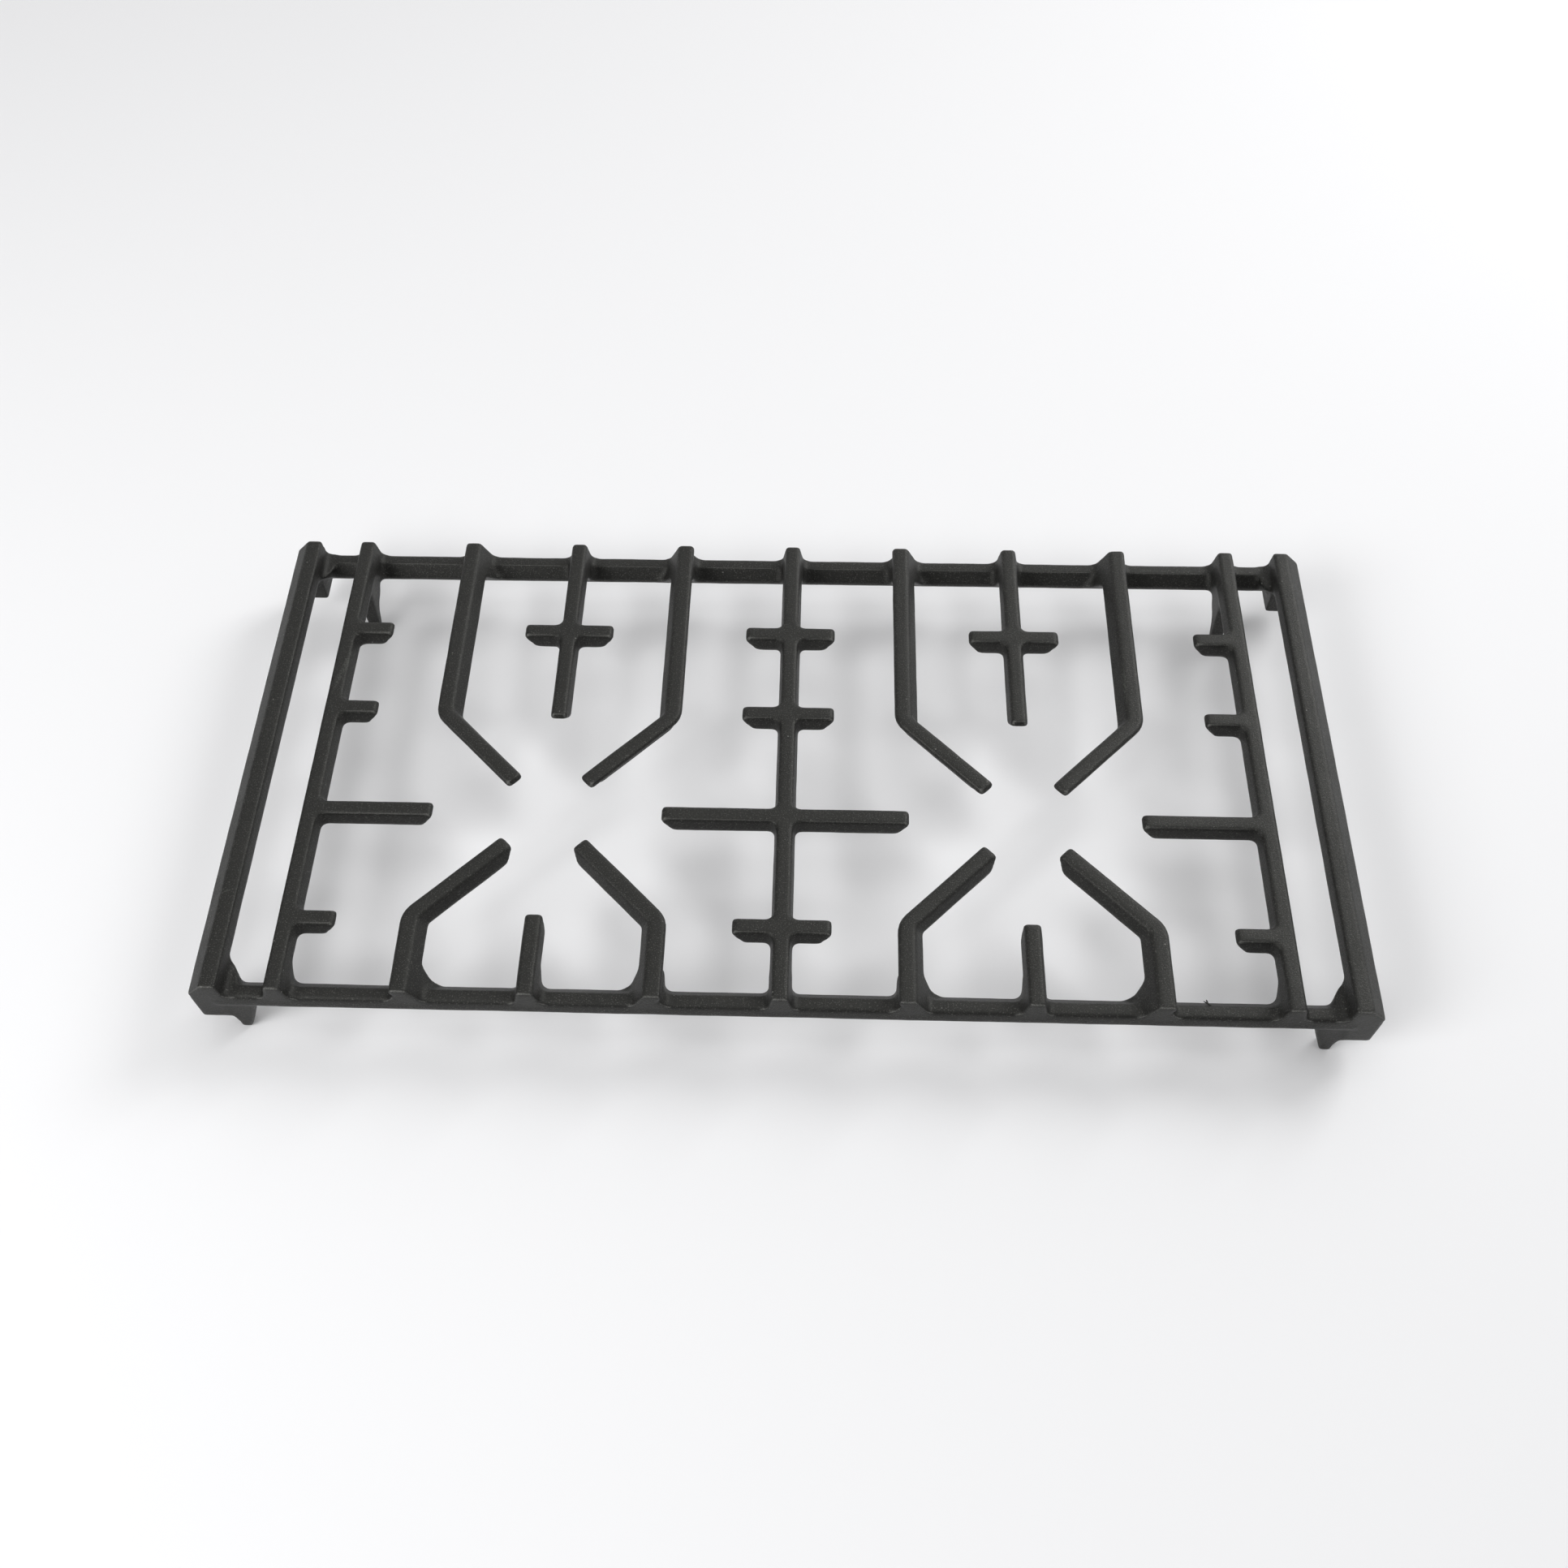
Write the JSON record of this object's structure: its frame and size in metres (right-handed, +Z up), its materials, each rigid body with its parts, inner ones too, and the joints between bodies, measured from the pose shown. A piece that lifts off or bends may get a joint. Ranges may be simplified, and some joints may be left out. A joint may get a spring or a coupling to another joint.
{
  "type": "stove grate",
  "caption": "Cast iron grate for a gas hob: long bars, slanted fingers and short ribs carry pots above the burners; it stands on pegs and legs.",
  "frame": {"origin": "on the surface it stands on, under the middle of the grate", "axes": "+X along the length, to the right; +Y towards the back, where the legs stand inboard; +Z up, towards the crests that carry pots"},
  "size_m": [0.5284, 0.2612, 0.043],
  "materials": {
    "cast_iron": "matte black enamel over a fine sand-cast grain"
  },
  "bodies": {
    "root": {"grate": "cast_iron"}
  },
  "joints": []
}
